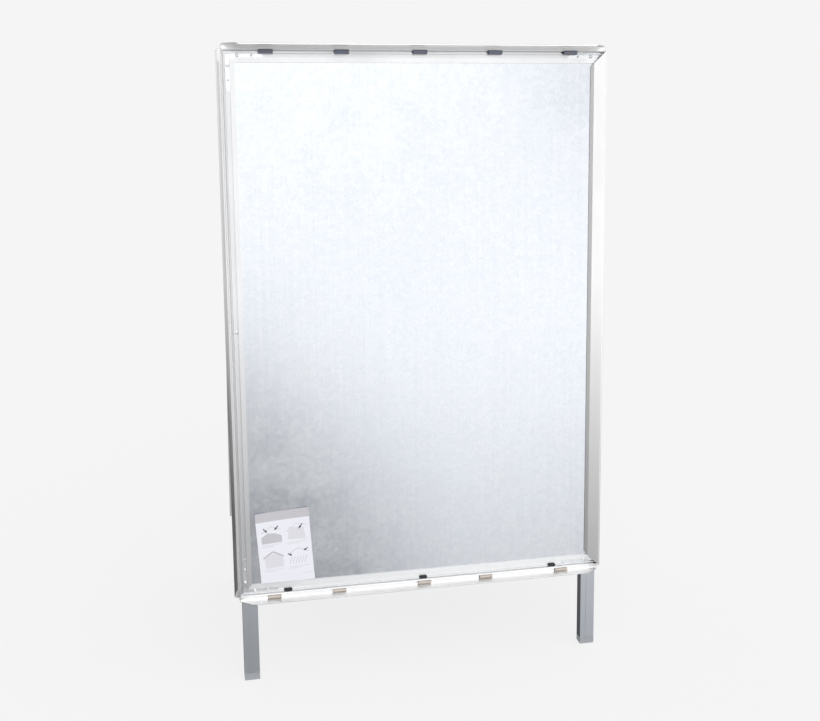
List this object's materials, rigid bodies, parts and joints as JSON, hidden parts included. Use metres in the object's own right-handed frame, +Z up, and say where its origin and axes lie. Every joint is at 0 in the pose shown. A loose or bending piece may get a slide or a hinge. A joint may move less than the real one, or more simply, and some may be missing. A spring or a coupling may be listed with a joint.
{
  "type": "sandwich board",
  "caption": "folding double-sided pavement poster stand: two hinged aluminium snap frames on legs, with opening rails, steel back panels and slotted spreader stays",
  "frame": {"origin": "middle of the footprint, on the floor", "axes": "+Z up, +X to the right of a reader facing the front board, -Y the way the front board faces"},
  "size_m": [0.753, 0.3848, 1.216],
  "materials": {
    "profile_aluminium": "satin",
    "rail_aluminium": "satin anodised",
    "leg_aluminium": "satin anodised",
    "galvanised_steel": "spangled galvanised",
    "zinc_steel": "zinc plated",
    "spring_steel": "phosphated",
    "hinge_steel": "zinc plated",
    "stay_steel": "zinc plated",
    "foot_plastic": "moulded",
    "buffer_rubber": "moulded",
    "leaflet_paper": "uncoated paper"
  },
  "bodies": {
    "front_frame": {"front_back_panel": "galvanised_steel", "front_base_bottom": "profile_aluminium", "front_base_left": "profile_aluminium", "front_base_right": "profile_aluminium", "front_base_top": "profile_aluminium", "front_buffers": "buffer_rubber", "front_clips_top": "spring_steel", "front_corner_brackets": "zinc_steel", "front_corner_pins": "zinc_steel", "front_corner_screws": "zinc_steel", "front_foot_left": "foot_plastic", "front_foot_right": "foot_plastic", "front_hinge_leaves": "hinge_steel", "front_hinge_rivets": "hinge_steel", "front_leg_left": "leg_aluminium", "front_leg_right": "leg_aluminium", "front_leg_screws": "zinc_steel", "hinge_pins": "hinge_steel", "instruction_leaflet": "leaflet_paper", "stay_pivots": "stay_steel"},
    "rear_frame": {"rear_back_panel": "galvanised_steel", "rear_base_bottom": "profile_aluminium", "rear_base_left": "profile_aluminium", "rear_base_right": "profile_aluminium", "rear_base_top": "profile_aluminium", "rear_buffers": "buffer_rubber", "rear_clips_top": "spring_steel", "rear_corner_brackets": "zinc_steel", "rear_corner_pins": "zinc_steel", "rear_corner_screws": "zinc_steel", "rear_foot_left": "foot_plastic", "rear_foot_right": "foot_plastic", "rear_hinge_leaves": "hinge_steel", "rear_hinge_rivets": "hinge_steel", "rear_leg_left": "leg_aluminium", "rear_leg_right": "leg_aluminium", "rear_leg_screws": "zinc_steel", "stay_pins": "stay_steel"},
    "front_rail_bottom": {"front_rail_bottom": "rail_aluminium", "front_clips_bottom": "spring_steel"},
    "front_rail_left": {"front_rail_left": "rail_aluminium"},
    "front_rail_right": {"front_rail_right": "rail_aluminium"},
    "front_rail_top": {"front_rail_top": "rail_aluminium"},
    "rear_rail_bottom": {"rear_rail_bottom": "rail_aluminium", "rear_clips_bottom": "spring_steel"},
    "rear_rail_left": {"rear_rail_left": "rail_aluminium"},
    "rear_rail_right": {"rear_rail_right": "rail_aluminium"},
    "rear_rail_top": {"rear_rail_top": "rail_aluminium"},
    "stay_left": {"stay_left": "stay_steel"},
    "stay_right": {"stay_right": "stay_steel"}
  },
  "joints": [
    {"name": "front_rail_left_snap", "type": "hinge", "parent": "front_frame", "child": "front_rail_left", "pos_m": [-0.3704, -0.09469, 0.68887], "axis": [0, -0.1392, -0.9903], "range_deg": [-98, 0]},
    {"name": "front_rail_right_snap", "type": "hinge", "parent": "front_frame", "child": "front_rail_right", "pos_m": [0.3704, -0.09469, 0.68887], "axis": [0, 0.1392, 0.9903], "range_deg": [0, 98]},
    {"name": "front_rail_top_snap", "type": "hinge", "parent": "front_frame", "child": "front_rail_top", "pos_m": [0, -0.02227, 1.20421], "axis": [-1, 0, 0], "range_deg": [-98, 0]},
    {"name": "front_rail_bottom_snap", "type": "hinge", "parent": "front_frame", "child": "front_rail_bottom", "pos_m": [0, -0.16712, 0.17354], "axis": [1, 0, 0], "range_deg": [-98, 0]},
    {"name": "rear_rail_left_snap", "type": "hinge", "parent": "rear_frame", "child": "rear_rail_left", "pos_m": [0.3704, 0.09469, 0.68887], "axis": [0, 0.1392, -0.9903], "range_deg": [0, 98]},
    {"name": "rear_rail_right_snap", "type": "hinge", "parent": "rear_frame", "child": "rear_rail_right", "pos_m": [-0.3704, 0.09469, 0.68887], "axis": [0, -0.1392, 0.9903], "range_deg": [0, 98]},
    {"name": "rear_rail_top_snap", "type": "hinge", "parent": "rear_frame", "child": "rear_rail_top", "pos_m": [0, 0.02227, 1.20421], "axis": [1, 0, 0], "range_deg": [0, 98]},
    {"name": "rear_rail_bottom_snap", "type": "hinge", "parent": "rear_frame", "child": "rear_rail_bottom", "pos_m": [0, 0.16712, 0.17354], "axis": [-1, 0, 0], "range_deg": [0, 98]},
    {"name": "fold", "type": "hinge", "parent": "front_frame", "child": "rear_frame", "pos_m": [0, 0, 1.20673], "axis": [-1, 0, 0], "range_deg": [0, 16]},
    {"name": "stay_left_swing", "type": "hinge", "parent": "front_frame", "child": "stay_left", "pos_m": [-0.33415, -0.09074, 0.5934], "axis": [1, 0, 0], "range_deg": [0, 24.38]},
    {"name": "stay_right_swing", "type": "hinge", "parent": "front_frame", "child": "stay_right", "pos_m": [0.33415, -0.09074, 0.5934], "axis": [1, 0, 0], "range_deg": [0, 24.38]}
  ],
  "couplings": [
    {"joint": "stay_left_swing", "follows": "fold", "ratio": 1.5225},
    {"joint": "stay_right_swing", "follows": "fold", "ratio": 1.5225}
  ]
}
